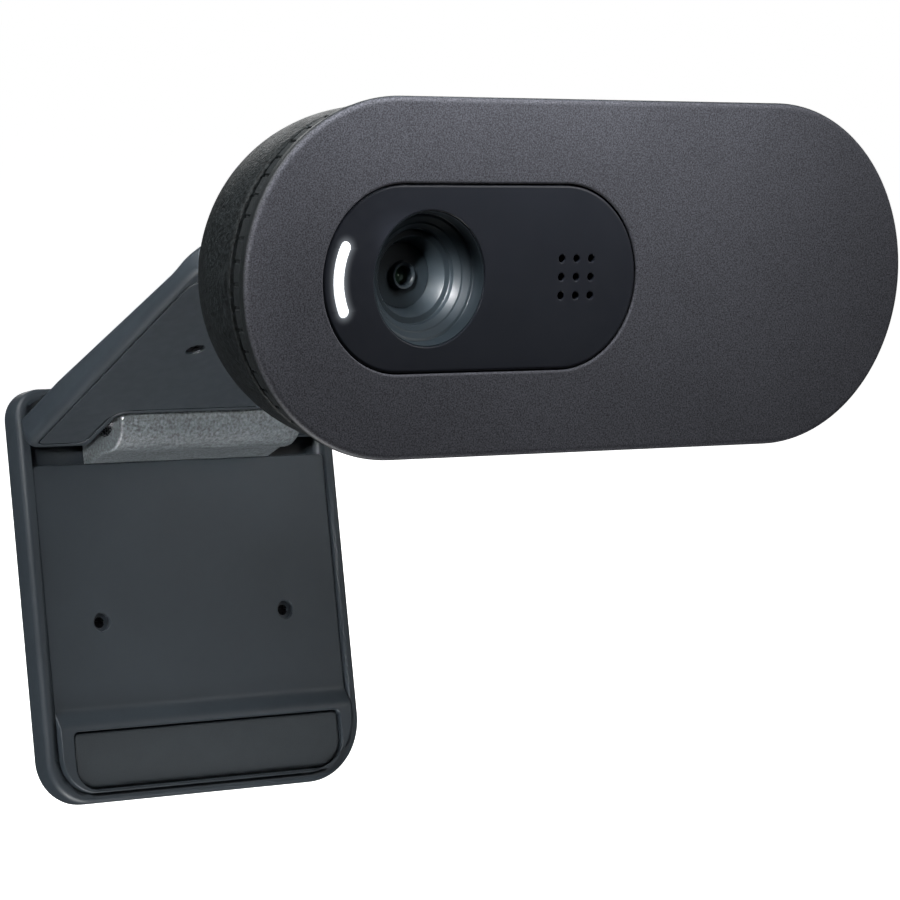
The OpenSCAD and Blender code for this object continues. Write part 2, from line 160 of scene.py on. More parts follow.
LEG_HALF = 18.8
LEG_LEN = 37.8
LEG_TOP = 3.7
CORNER_A = 4.6
CORNER_B = 6.6
LEG_FACE = 3.49
LEG_FLOOR = 5.45
LEG_BACK = 6.85
LEG_RIM = 1.25
PANEL_HALF = LEG_HALF - LEG_RIM
PANEL_TOP = -3.98
PANEL_BOTTOM = 0.9 - LEG_LEN
PANEL_CORNERS = (3.9, 5.9)
PANEL_T = 1.3
RAMP_TOP = -28.2
RAMP_RUN = 2.2
RAMP_STEP = 0.95
PAD_HALF = 15.8
PAD_LOW = -36.3
PAD_HIGH = -30.75
PAD_CORNERS = (0.5, 0.5, 2.2, 2.8)
PAD_GAP = 0.15
LEG_SCREWS = [(-11, -19.9), (11, -19.9)]

FLAT_MARGIN = 0.06      # width of the flat ring along a face's rounded edge
SMOOTH_BELOW = 32       # degrees between faces, above which an edge is sharp


# ---- outlines: each is a function of inset, and gives the same number of (u, v) points whatever the inset is

def arc(cx, cy, r, start, end, steps):
    """Points of an arc, from angle start to end in degrees."""
    angles = [math.radians(start + (end - start) * i / steps) for i in range(steps + 1)]
    return [(cx + r * math.cos(a), cy + r * math.sin(a)) for a in angles]


def pill(run, radius, x=0.0, steps=64):
    def outline(inset):
        r = radius - inset
        return arc(x + run / 2, 0, r, -90, 90, steps) + arc(x - run / 2, 0, r, 90, 270, steps)
    return outline


def disc(radius, x=0.0, y=0.0, steps=48):
    def outline(inset):
        return arc(x, y, radius - inset, 0, 360, steps)[:-1]
    return outline


def rounded_rect(left, right, bottom, top, radii, steps=14):
    """radii are those of the corners right top, left top, left bottom and right bottom."""
    def outline(inset):
        points = []
        corners = ((right, top, -1, -1), (left, top, 1, -1), (left, bottom, 1, 1), (right, bottom, -1, 1))
        for (x, y, sx, sy), radius, start in zip(corners, radii, (0, 90, 180, 270)):
            r = max(radius - inset, 0.04)
            points += arc(x + sx * (inset + r), y + sy * (inset + r), r, start, start + 90, steps)
        return points
    return outline


def bent_slot(x, ring, half_w, half_angle, steps=24):
    """The slot that follows the window's left end: a bent bar with round ends."""
    def outline(inset):
        w = half_w - inset
        a0 = 180 - half_angle
        a1 = 180 + half_angle
        end = [(x + ring * math.cos(math.radians(a)), ring * math.sin(math.radians(a))) for a in (a0, a1)]
        return (arc(x, 0, ring + w, a0, a1, steps) + arc(*end[1], w, a1, a1 + 180, 10)[1:]
                + arc(x, 0, ring - w, a1, a0, steps)[1:] + arc(*end[0], w, a0 + 180, a0 + 360, 10)[1:-1])
    return outline


def polygon(points):
    """An outline from points that run anticlockwise, set in by the same distance all round."""
    def outline(inset):
        result = []
        count = len(points)
        for i, here in enumerate(points):
            before = Vector(points[i - 1])
            after = Vector(points[(i + 1) % count])
            a = (Vector(here) - before).normalized()
            b = (after - Vector(here)).normalized()
            na = Vector((-a.y, a.x))
            nb = Vector((-b.y, b.x))
            mitre = (na + nb).normalized()
            result.append(tuple(Vector(here) + mitre * inset / max(mitre.dot(na), 0.4)))
        return result
    return outline


def round_edge(radius, depth, towards=1, steps=5):
    """Steps of (inset, depth) from a flat face at depth, over its edge, to the side wall.

    The first step is a narrow flat ring, which keeps the shading of the face flat up to its edge.
    """
    turns = [math.radians(90 * i / steps) for i in range(steps + 1)]
    curve = [(radius * (1 - math.sin(t)), depth + towards * radius * (1 - math.cos(t))) for t in turns]
    return [(radius + FLAT_MARGIN, depth)] + curve


def hole_edge(radius, depth, towards=1, steps=3):
    return [(-inset, d) for inset, d in round_edge(radius, depth, towards, steps)]


# ---- building meshes

class Shape:
    def __init__(self, place):
        self.bm = bmesh.new()
        self.place = place

    def ring(self, outline, inset, depth):
        return [self.bm.verts.new(self.place(u, v, depth)) for u, v in outline(inset)]

    def bridge(self, a, b):
        for i in range(len(a)):
            j = (i + 1) % len(a)
            self.bm.faces.new((a[i], a[j], b[j], b[i]))

    def wall(self, outline, sections):
        """Rings at each (inset, depth), joined one to the next. Returns the first and the last."""
        rings = [self.ring(outline, inset, depth) for inset, depth in sections]
        for a, b in zip(rings, rings[1:]):
            self.bridge(a, b)
        return rings[0], rings[-1]

    def cap(self, *loops):
        """Fills the flat area inside the first loop and outside the others."""
        edges = []
        for loop in loops:
            for a, b in zip(loop, loop[1:] + loop[:1]):
                edges.append(self.bm.edges.get((a, b)) or self.bm.edges.new((a, b)))
        origin = self.place(0, 0, 0)
        across = (self.place(1, 0, 0) - origin).cross(self.place(0, 1, 0) - origin)
        bmesh.ops.triangle_fill(self.bm, edges=edges, use_beauty=True, normal=across)

    def slices(self, normal, positions):
        """Cuts the mesh across, so that bend() can curve it."""
        for p in positions:
            everything = self.bm.verts[:] + self.bm.edges[:] + self.bm.faces[:]
            bmesh.ops.bisect_plane(
                self.bm, geom=everything, plane_co=Vector(normal) * p, plane_no=normal, dist=1e-5)

    def bend(self, move):
        for v in self.bm.verts:
            v.co = move(v.co)

    def finish(self, name, matrix, material, angle=SMOOTH_BELOW):
        bm = self.bm
        bmesh.ops.remove_doubles(bm, verts=bm.verts[:], dist=1e-4)
        bmesh.ops.dissolve_degenerate(bm, edges=bm.edges[:], dist=1e-4)
        bmesh.ops.recalc_face_normals(bm, faces=bm.faces[:])
        bm.transform(matrix)
        mesh = bpy.data.meshes.new(name)
        bm.to_mesh(mesh)
        bm.free()
        piece = bpy.data.objects.new(name, mesh)
        bpy.context.scene.collection.objects.link(piece)
        mesh.materials.append(material)
        smooth(piece, angle)
        return piece


def smooth(piece, angle):
    """Sharp where faces meet at more than angle, and smooth elsewhere."""
    mesh = piece.data
    mesh.shade_smooth()
    mesh.set_sharp_from_angle(angle=math.radians(angle))
    weighted = piece.modifiers.new("even_normals", "WEIGHTED_NORMAL")
    weighted.keep_sharp = True
    weighted.weight = 70


def face_place(u, v, depth):
    """Head and leg: u is X, v is Z and depth runs back along Y."""
    return Vector((u, depth, v))


def flat_place(u, v, height):
    """Arm: u is X, v is Y along the arm and height is Z."""
    return Vector((u, v, height))


def side_place(u, v, along):
    """A section in the YZ plane, carried along X."""
    return Vector((along, u, v))


def turned(name, matrix, section, material, centre=(0, 0), steps=96, axis="Y", angle=SMOOTH_BELOW):
    """A body of revolution from a closed section of (radius, distance along the axis)."""
    shape = Shape(face_place if axis == "Y" else side_place)
    rings = [shape.ring(disc(max(r, 1e-3), *centre, steps=steps), 0, d) for r, d in section]
    for a, b in zip(rings, rings[1:] + rings[:1]):
        shape.bridge(a, b)
    return shape.finish(name, matrix, material, angle)


def join(name, pieces):
    """Joins pieces of one finish into the first, and names it."""
    first = pieces[0]
    bm = bmesh.new()
    for piece in pieces:
        bm.from_mesh(piece.data)
    bm.to_mesh(first.data)
    bm.free()
    for piece in pieces[1:]:
        bpy.data.objects.remove(piece)
    first.name = name
    first.data.name = name
    return first


def carve(piece, cutter, angle):
    """Cuts cutter out of piece, for good."""
    cut = piece.modifiers.new("cut", "BOOLEAN")
    cut.operation = "DIFFERENCE"
    cut.solver = "EXACT"
    cut.object = cutter
    for m in [m for m in piece.modifiers if m.type == "WEIGHTED_NORMAL"]:
        piece.modifiers.remove(m)
    bpy.context.view_layer.update()
    result = bpy.data.meshes.new_from_object(piece.evaluated_get(bpy.context.evaluated_depsgraph_get()))
    piece.modifiers.clear()
    piece.data = result
    bpy.data.objects.remove(cutter)
    smooth(piece, angle)
    return piece


# ---- materials

class Nodes:
    """Short names for making a node material."""

    def __init__(self, name):
        self.material = bpy.data.materials.new(name)
        self.material.use_nodes = True
        self.tree = self.material.node_tree
        self.shader = self.tree.nodes["Principled BSDF"]
        self.where = self.tree.nodes.new("ShaderNodeTexCoord").outputs["Object"]

    def link(self, a, b):
        self.tree.links.new(a, b)

    def put(self, socket, value):
        if isinstance(value, bpy.types.NodeSocket):
            self.link(value, socket)
        else:
            socket.default_value = value

    def noise(self, size_mm, detail=2.0, roughness=0.5):
        n = self.tree.nodes.new("ShaderNodeTexNoise")
        n.inputs["Scale"].default_value = 1 / (size_mm * MM)
        n.inputs["Detail"].default_value = detail
        n.inputs["Roughness"].default_value = roughness
        self.link(self.where, n.inputs["Vector"])
        return n.outputs["Fac"]

    def cells(self, size_mm, randomness=1.0):
        n = self.tree.nodes.new("ShaderNodeTexVoronoi")
        n.inputs["Scale"].default_value = 1 / (size_mm * MM)
        n.inputs["Randomness"].default_value = randomness
        self.link(self.where, n.inputs["Vector"])
        return n.outputs["Distance"]

    def math(self, operation, a, b=0.0, c=0.0):
        n = self.tree.nodes.new("ShaderNodeMath")
        n.operation = operation
        for socket, value in zip(n.inputs, (a, b, c)):
            self.put(socket, value)
        return n.outputs[0]

    def span(self, value, low, high, to_low, to_high):
        n = self.tree.nodes.new("ShaderNodeMapRange")
        for socket, v in zip(n.inputs, (value, low, high, to_low, to_high)):
            self.put(socket, v)
        return n.outputs[0]

    def blend(self, factor, a, b):
        n = self.tree.nodes.new("ShaderNodeMix")
        n.data_type = "RGBA"
        self.put(n.inputs["Factor"], factor)
        for socket, value in ((n.inputs["A"], a), (n.inputs["B"], b)):
            self.put(socket, value)
        return n.outputs["Result"]

    def axis(self, letter):
        n = self.tree.nodes.new("ShaderNodeSeparateXYZ")
        self.link(self.where, n.inputs[0])
        return n.outputs[letter]

    def bump(self, height, depth_mm, strength=1.0, under=None):
        n = self.tree.nodes.new("ShaderNodeBump")
        n.inputs["Strength"].default_value = strength
        n.inputs["Distance"].default_value = depth_mm * MM
        self.link(height, n.inputs["Height"])
        if under is not None:
            self.link(under, n.inputs["Normal"])
        self.link(n.outputs[0], self.shader.inputs["Normal"])
        return n.outputs[0]


def rgb(colour, gain=1.0):
    return (*(min(c * gain, 1.0) for c in colour), 1.0)


def grained_plastic(name, colour, roughness, grain_mm, depth_mm, speckle, mottle=0.12, specular=0.5, side_shade=None):
    """Moulded plastic: a fine grain in colour and height over slow, faint unevenness. The sides may take a darker
    colour, which is painted shade for the less lit sides.
    """
    n = Nodes(name)
    grain = n.noise(grain_mm, 3.0, 0.62)
    cloud = n.noise(9.0, 3.0, 0.55)
    fleck = n.span(grain, 0.34, 0.68, 1 - speckle, 1 + speckle)
    tone = n.math("MULTIPLY", fleck, n.span(cloud, 0.3, 0.7, 1 - mottle, 1 + mottle))
    lift = n.span(tone, 1 - speckle - mottle, 1 + speckle + mottle, 0.0, 1.0)
    paint = n.blend(lift, rgb(colour, 1 - speckle - mottle), rgb(colour, 1 + speckle + mottle))
    # Painted shade: behind the face's front edge the colour turns to the darker side colour, which stands in for the
    # shade that falls on the sides.
    if side_shade:
        depth = n.math("SUBTRACT", n.axis("Y"), FACE_CENTRE.y)
        side_shade_mask = n.span(depth, 0.12 * MM, 0.4 * MM, 0.0, 1.0)
        shaded_paint = n.blend(lift, rgb(side_shade, 1 - speckle - mottle), rgb(side_shade, 1 + speckle + mottle))
        paint = n.blend(side_shade_mask, paint, shaded_paint)
    n.link(paint, n.shader.inputs["Base Color"])
    n.link(n.span(n.noise(2.2, 2.0), 0.3, 0.7, roughness - 0.05, roughness + 0.05), n.shader.inputs["Roughness"])
    n.shader.inputs["Specular IOR Level"].default_value = specular
    n.bump(grain, depth_mm, 1.0)
    return n.material


def satin_plastic(name, colour, roughness, specular=0.5):
    """Smooth moulded plastic, with the faint waviness of a real moulding and a trace of dust."""
    n = Nodes(name)
    wave = n.noise(6.0, 2.0, 0.5)
    dust = n.span(n.noise(0.25, 4.0, 0.7), 0.62, 0.78, 0.0, 0.35)
    n.link(n.blend(dust, n.blend(wave, rgb(colour, 0.86), rgb(colour, 1.14)), rgb(colour, 1.7)),
           n.shader.inputs["Base Color"])
    n.link(n.span(n.noise(1.1, 3.0), 0.3, 0.7, roughness - 0.04, roughness + 0.05), n.shader.inputs["Roughness"])
    n.shader.inputs["Specular IOR Level"].default_value = specular
    fine = n.bump(n.noise(0.12, 2.0), 0.0012, 1.0)
    n.bump(wave, 0.012, 1.0, under=fine)
    return n.material


def window_satin(name, colour, roughness):
    """The satin window, which glows faintly next to the light."""
    n = Nodes(name)
    wave = n.noise(5.0, 2.0, 0.5)
    n.link(n.blend(wave, rgb(colour, 0.88), rgb(colour, 1.12)), n.shader.inputs["Base Color"])
    n.link(n.span(n.noise(0.9, 3.0), 0.3, 0.7, roughness - 0.04, roughness + 0.04), n.shader.inputs["Roughness"])
    n.bump(n.noise(0.1, 2.0), 0.0008, 1.0)
    n.shader.inputs["Specular IOR Level"].default_value = 0.45
    x = n.math("SUBTRACT", n.axis("X"), FACE_CENTRE.x + LIGHT_X * MM)
    z = n.math("SUBTRACT", n.axis("Z"), FACE_CENTRE.z)
    radius = n.math("SQRT", n.math("ADD", n.math("MULTIPLY", x, x), n.math("MULTIPLY", z, z)))
    from_ring = n.math("ABSOLUTE", n.math("SUBTRACT", radius, LIGHT_RING * MM))
    end_x = -LIGHT_RING * math.cos(math.radians(LIGHT_HALF_ANGLE)) * MM
    end_z = LIGHT_RING * math.sin(math.radians(LIGHT_HALF_ANGLE)) * MM
    dx = n.math("SUBTRACT", x, end_x)
    dz = n.math("SUBTRACT", n.math("ABSOLUTE", z), end_z)
    from_end = n.math("SQRT", n.math("ADD", n.math("MULTIPLY", dx, dx), n.math("MULTIPLY", dz, dz)))
    beside = n.math("MULTIPLY", n.math("LESS_THAN", dz, 0.0), n.math("LESS_THAN", x, 0.0))
    away = n.math("ADD", n.math("MULTIPLY", beside, from_ring),
                  n.math("MULTIPLY", n.math("SUBTRACT", 1.0, beside), from_end))
    near = n.span(away, LIGHT_HALF_W * MM, (LIGHT_HALF_W + 0.8) * MM, 1.0, 0.0)
    n.shader.inputs["Emission Color"].default_value = (0.85, 0.92, 1.0, 1.0)
    n.link(n.math("MULTIPLY", n.math("POWER", near, 2.2), 0.16), n.shader.inputs["Emission Strength"])
    return n.material


def metal(name, colour, roughness, grain_mm=0.15):
    n = Nodes(name)
    scratch = n.noise(grain_mm, 4.0, 0.6)
    n.link(n.blend(scratch, rgb(colour, 0.75), rgb(colour, 1.2)), n.shader.inputs["Base Color"])
    n.link(n.span(scratch, 0.3, 0.7, roughness - 0.08, roughness + 0.1), n.shader.inputs["Roughness"])
    n.shader.inputs["Metallic"].default_value = 1.0
    n.bump(scratch, 0.003, 1.0)
    return n.material


def lit_guide(name):
    n = Nodes(name)
    depth = n.span(n.noise(0.8, 2.0), 0.3, 0.7, 1.15, 1.35)
    n.link(n.blend(n.noise(0.5), rgb((0.9, 0.93, 0.98)), rgb((1, 1, 1))), n.shader.inputs["Base Color"])
    n.shader.inputs["Emission Color"].default_value = (0.93, 0.97, 1.0, 1.0)
    n.link(depth, n.shader.inputs["Emission Strength"])
    n.shader.inputs["Roughness"].default_value = 0.35
    return n.material


def coated_glass(name):
    n = Nodes(name)
    # The green-grey base colour is a painted reflection of the coating's green glint; the coat tint is the coating's
    # own colour.
    n.link(n.blend(n.noise(1.2), rgb((0.06, 0.085, 0.07)), rgb((0.09, 0.125, 0.10))), n.shader.inputs["Base Color"])
    n.link(n.span(n.noise(0.6), 0.3, 0.7, 0.03, 0.06), n.shader.inputs["Roughness"])
    n.shader.inputs["Specular IOR Level"].default_value = 0.9
    n.shader.inputs["Coat Weight"].default_value = 1.0
    n.shader.inputs["Coat Roughness"].default_value = 0.03
    n.shader.inputs["Coat Tint"].default_value = (0.75, 1.0, 0.82, 1.0)
    return n.material


def board_mask(name):
    n = Nodes(name)
    copper = n.span(n.cells(1.3), 0.42, 0.46, 0.0, 1.0)
    n.link(n.blend(copper, rgb((0.008, 0.07, 0.03)), rgb((0.02, 0.13, 0.05))), n.shader.inputs["Base Color"])
    n.link(n.span(n.noise(0.7), 0.3, 0.7, 0.25, 0.4), n.shader.inputs["Roughness"])
    n.bump(copper, 0.02, 1.0)
    return n.material


# The cover's last colour is painted shade for its side band and seam teeth.
COVER = grained_plastic("cover_plastic", (0.053, 0.0545, 0.064), 0.52, 0.14, 0.014, 0.62, 0.06, 0.22,
                        (0.009, 0.0105, 0.0112))
SHELL = grained_plastic("shell_plastic", (0.0068, 0.0080, 0.0085), 0.5, 0.3, 0.1, 0.86, 0.1, 0.12)
# The knuckle has its own coarser grain, but its colour is the clip's plastic made several times lighter, a painted
# highlight for the light on its top.
KNUCKLE_GRAIN_AND_HIGHLIGHT = grained_plastic("knuckle_grain_and_painted_highlight", (0.072, 0.082, 0.088), 0.36, 0.3, 0.07, 0.8, 0.05, 1.0)
CLIP = satin_plastic("clip_plastic", (0.0175, 0.0222, 0.0270), 0.46, 0.32)
WINDOW = window_satin("window_plastic", (0.0125, 0.0142, 0.0192), 0.36)
OPTICS = satin_plastic("optics_plastic", (0.018, 0.0245, 0.030), 0.42, 0.3)
RUBBER = grained_plastic("rubber", (0.012, 0.016, 0.0195), 0.66, 0.12, 0.006, 0.16)
CHIP = grained_plastic("chip_plastic", (0.018, 0.018, 0.019), 0.5, 0.1, 0.004, 0.15)
CONNECTOR = satin_plastic("connector_plastic", (0.62, 0.59, 0.5), 0.45)
BOARD = board_mask("board")
STEEL = metal("steel", (0.62, 0.62, 0.64), 0.24)
DARK_STEEL = metal("dark_steel", (0.006, 0.006, 0.007), 0.6)
GLASS = coated_glass("optical_glass")
LIGHT = lit_guide("light_guide")


def dress(material, *nodes):
    """Gives a CAD node that stays in view its material."""
    for node in nodes:
        mesh = frame["nodes"][node].data
        mesh.materials.clear()
        mesh.materials.append(material)


def on(piece, body, slot, *nodes):
    """The piece rides on body and stands for the CAD nodes, which it hides; slot is not used."""
    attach(piece, body)
    if nodes:
        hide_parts(*nodes)
    return piece


# ---- head

WINDOW_HOLE = pill(WINDOW_RUN, WINDOW_R, WINDOW_X)
FACE_OUTLINE = pill(HEAD_RUN, HEAD_R)


def pill_point(run, radius, distance):
    """Where a walk of distance round a pill outline ends, and the way it then faces."""
    half_turn = math.pi * radius
    distance %= 2 * (run + half_turn)
    if distance < run:
        return Vector((distance - run / 2, radius)), math.pi / 2
    distance -= run
    if distance < half_turn:
        a = math.pi / 2 - distance / radius
        return Vector((run / 2 + radius * math.cos(a), radius * math.sin(a))), a
    distance -= half_turn
    if distance < run:
        return Vector((run / 2 - distance, -radius)), -math.pi / 2
    a = -math.pi / 2 - (distance - run) / radius
    return Vector((-run / 2 + radius * math.cos(a), radius * math.sin(a))), a


def seam_teeth(shape):
    """The low blocks that fill the groove between the cover's band and the rear shell."""
    new = shape.bm.verts.new
    length = 2 * (HEAD_RUN + math.pi * (HEAD_R - GROOVE))
    count = round(length / TOOTH_PITCH)
    low, high = BAND_D + 0.12, COVER_D - 0.05
    for i in range(count):
        corners = []
        for across in TOOTH_ACROSS:
            spot, facing = pill_point(HEAD_RUN, HEAD_R - GROOVE, length * i / count + across)
            corners.append((spot, Vector((math.cos(facing), math.sin(facing)))))
        rows = []
        for height, bevel in ((0.0, 0.0), (0.14, 0.0), (0.2, 0.08)):
            points = [spot + out * height for spot, out in corners]
            for end, beside in ((0, 1), (3, 2)):
                points[end] += (corners[beside][0] - corners[end][0]).normalized() * 0.8 * bevel
            rows.append([(new((p.x, low + bevel, p.y)), new((p.x, high - bevel, p.y))) for p in points])
        for lower, upper in zip(rows, rows[1:]):
            shape.bridge(*([pair[0] for pair in row] + [pair[1] for pair in reversed(row)]
                           for row in (lower, upper)))
        for k in range(3):
            for row in (rows[0], rows[-1]):
                shape.bm.faces.new((row[k][0], row[k + 1][0], row[k + 1][1], row[k][1]))


def make_front_cover():
    shape = Shape(face_place)
    sections = round_edge(FACE_EDGE, 0, steps=8)
    sections += [(TAPER, BAND_D - 0.08), (TAPER + 0.06, BAND_D), (GROOVE, BAND_D), (GROOVE, COVER_D),
                 (WALL, COVER_D), (WALL, WALL)]
    front, inside = shape.wall(FACE_OUTLINE, sections)
    hole_front, hole_back = shape.wall(WINDOW_HOLE, hole_edge(0.2, 0, steps=5) + [(0, WALL)])
    shape.cap(front, hole_front)
    shape.cap(inside, hole_back)
    seam_teeth(shape)
    return on(shape.finish("front_cover_look", HEAD, COVER), "head", "cover_plastic", "front_cover")


def dome(radius, start, drop, depth, steps=28):
    """(inset from DOME_R, depth) along a quarter of an ellipse, from the seam to the flat back."""
    turns = [math.radians(90 * i / steps) for i in range(steps + 1)]
    return [(DOME_R - radius + drop * (1 - math.cos(t)), start + depth * math.sin(t)) for t in turns]


def dome_depth(x, z):
    """Depth of the dome's outer surface at a point of its outline."""
    beyond = max(abs(x) - DOME_RUN / 2, 0)
    inset = DOME_R - math.hypot(beyond, z)
    turn = math.acos(min(max(1 - inset / DOME_IN, 0), 1))
    return DOME_START + DOME_D * math.sin(turn)


def make_boss(side):
    """The screw boss under a counterbore, its top trimmed to lie inside the dome."""
    shape = Shape(face_place)
    wall = 0.62
    sections = [(1.7, BORE_FLOOR - WALL), (0, BORE_FLOOR - WALL), (0, BACK_Y), (wall, BACK_Y), (wall, BORE_FLOOR),
                (1.7, BORE_FLOOR)]
    first, last = shape.wall(disc(BORE_R - 0.02 + wall, side * CASE_SCREW_X, 0), sections)
    shape.bridge(first, last)
    shape.bend(lambda co: Vector((co.x, min(co.y, dome_depth(co.x, co.z) - 0.12), co.z)))
    return shape.finish("boss", HEAD, SHELL)


def make_lug(x0, x1):
    """One of the two lugs that hold the tilt pin, with soft edges."""
    points = [(BACK_Y - 3.2, TILT.z - 9.3), (BACK_Y + 0.2, TILT.z - 9.0)]
    points += arc(TILT.y, TILT.z, PIVOT_R, -125, 90, 22)
    points += [(BACK_Y + 0.2, TILT.z + PIVOT_R), (BACK_Y - 3.2, TILT.z + PIVOT_R)]
    edge = 0.55
    outline = polygon(points)
    shape = Shape(side_place)
    left = round_edge(edge, x0, 1, 5)
    right = [(inset, d) for inset, d in reversed(round_edge(edge, x1, -1, 5))]
    first, last = shape.wall(outline, left + right)
    shape.cap(first)
    shape.cap(last)
    return shape.finish("lug", HEAD, SHELL)


def make_rear_shell():
    body = Shape(face_place)
    outline = pill(DOME_RUN, DOME_R)
    outer = [(1.35, COVER_D - 0.75), (1.35, DOME_START - 0.01), (0.12, DOME_START), (0.0, DOME_START + 0.12)]
    outer += dome(DOME_R, DOME_START, DOME_IN, DOME_D)[1:]
    inner = [(2.35, COVER_D - 0.75), (2.35, DOME_START + 0.4)]
    inner += dome(DOME_R - WALL, DOME_START + 0.4, DOME_IN - 0.6, DOME_D - WALL - 0.4)
    lip, back = body.wall(outline, outer)
    lip_inside, ceiling = body.wall(outline, inner)
    body.bridge(lip, lip_inside)
    gland = in_frame(HEAD, MOUNTS["cord_inlet"]["pos_m"])
    hole_back, hole_front = body.wall(
        disc(2.4, gland.x, gland.z), hole_edge(0.15, BACK_Y, -1) + [(0, BACK_Y - WALL)])
    body.cap(back, hole_back)
    body.cap(ceiling, hole_front)
    shell = body.finish("rear_shell_look", HEAD, SHELL, 40)
    for side in (-1, 1):
        cutter = turned("counterbore", HEAD, [(0, BORE_FLOOR), (BORE_R, BORE_FLOOR), (BORE_R, 20), (0, 20)], SHELL,
                        (side * CASE_SCREW_X, 0), 48)
        shell = carve(shell, cutter, 40)
    fixings = [make_lug(LUG_IN, LUG_IN + LUG_T), make_lug(-LUG_IN - LUG_T, -LUG_IN), make_boss(-1), make_boss(1)]
    return on(join("rear_shell_look", [shell] + fixings), "head", "shell_plastic", "rear_shell")


def make_window():
    shape = Shape(face_place)
    gap = 0.09
    edge = 0.26
    front_sections = [(gap + inset, d) for inset, d in round_edge(edge, WINDOW_SINK, 1, 5)]
    flange = [(gap, 1.52), (-0.4, 1.52), (-0.4, 2.3)]
    front, back = shape.wall(WINDOW_HOLE, front_sections + flange)
    holes = [shape.wall(disc(LENS_R, LENS_X, 0, 96), hole_edge(0.08, WINDOW_SINK) + [(0, 2.3)])]
    slot = bent_slot(LIGHT_X, LIGHT_RING, LIGHT_HALF_W + 0.03, LIGHT_HALF_ANGLE)
    holes.append(shape.wall(slot, hole_edge(0.05, WINDOW_SINK) + [(0, 2.3)]))
    for i in (-1, 0, 1):
        for j in (-1, 0, 1):
            mic = disc(MIC_R, MIC_X + i * MIC_PITCH, j * MIC_PITCH, 24)
            holes.append(shape.wall(mic, hole_edge(0.06, WINDOW_SINK) + [(0, 2.3)]))
    shape.cap(front, *(h[0] for h in holes))
    shape.cap(back, *(h[1] for h in holes))
    return on(shape.finish("window_look", HEAD, WINDOW), "head", "window_plastic", "window_panel")


def make_light():
    shape = Shape(face_place)
    slot = bent_slot(LIGHT_X, LIGHT_RING, LIGHT_HALF_W, LIGHT_HALF_ANGLE)
    first, last = shape.wall(slot, round_edge(0.12, WINDOW_SINK, 1, 4) + [(0, 6.8)])
    shape.cap(first)
    shape.cap(last)
    return on(shape.finish("light_look", HEAD, LIGHT), "head", "light_guide", "light_pipe")


def make_hood():
    """The stepped funnel round the lens: a wall, two cones, a ledge and a long cone down to the flat disc."""
    top = 0.3
    section = [
        (LENS_R - 0.03, top - 0.02), (LENS_R - 0.12, top - 0.02), (5.52, top + 1.12), (5.48, top + 1.17),
        (5.27, top + 1.2), (5.22, top + 1.23), (4.78, top + 1.62), (4.73, top + 1.65), (4.62, top + 1.66),
        (4.57, top + 1.7), (4.2, top + 2.06), (4.14, top + 2.12), (4.1, top + 2.55), (4.05, top + 2.6),
        (3.54, top + 2.62), (3.48, top + 2.68), (2.85, DISC_Y), (3.6, DISC_Y), (LENS_R - 0.03, top + 2.4),
    ]
    return on(turned("hood_look", HEAD, section, OPTICS, (LENS_X, 0), 128, angle=27), "head",
              "window_plastic", "lens_hood")


def make_retainer():
    """The flat disc with the raised ring round the front lens."""
    y = DISC_Y
    section = [
        (1.3, y), (1.24, y - 0.1), (1.2, y - 0.4), (1.12, y - 0.46), (0.98, y - 0.42), (0.88, y - 0.3),
        (0.86, y + 0.4), (2.15, y + 0.4),
        (2.15, y + 0.13), (2.8, y + 0.13), (2.8, y),
    ]
    return on(turned("retainer_look", HEAD, section, OPTICS, (LENS_X, 0), 96, angle=35), "head",
              "optics_plastic", "lens_retainer")


# ---- arm

def arm_top(y):
    rise = min(max((y + 14) / (HINGE.y - 6 + 14), 0), 1)
    sweep = 0.021 * max(0.0, -14 - y) ** 2
    return min(PIVOT.z + PIVOT_R - 0.1, ARM_FRONT_T + (ARM_REAR_T - ARM_FRONT_T) * rise + sweep)


def arm_bottom(y):
    return -0.5 * min(max((-28.5 - y) / 4, 0), 1)


def arm_outline(inset):
    """The arm from above: ears round the hinge notch, a full-width plate, and a neck that leads to the barrel."""
    notch = HINGE.y - KNUCKLE_R - 0.1
    points = []
    points += arc(ARM_HALF - 2, EAR_END - 2, 2 - inset, 0, 90, 10)
    points += arc(EAR_IN + 1, EAR_END - 1, 1 - inset, 90, 180, 8)
    points += arc(EAR_IN - 0.8, notch + 0.8, 0.8 + inset, 0, -90, 8)
    points += arc(0.8 - EAR_IN, notch + 0.8, 0.8 + inset, -90, -180, 8)
    points += arc(-EAR_IN - 1, EAR_END - 1, 1 - inset, 0, 90, 8)
    points += arc(2 - ARM_HALF, EAR_END - 2, 2 - inset, 90, 180, 10)
    points += arc(5 - ARM_HALF, -16, 5 - inset, 180, 270, 16)
    points += arc(-BARREL_HALF - 4, -25, 4 + inset, 90, 0, 12)
    points += [(-BARREL_HALF + inset, PIVOT.y), (BARREL_HALF - inset, PIVOT.y)]
    points += arc(BARREL_HALF + 4, -25, 4 + inset, 180, 90, 12)
    points += arc(ARM_HALF - 5, -16, 5 - inset, 270, 360, 16)
    return points


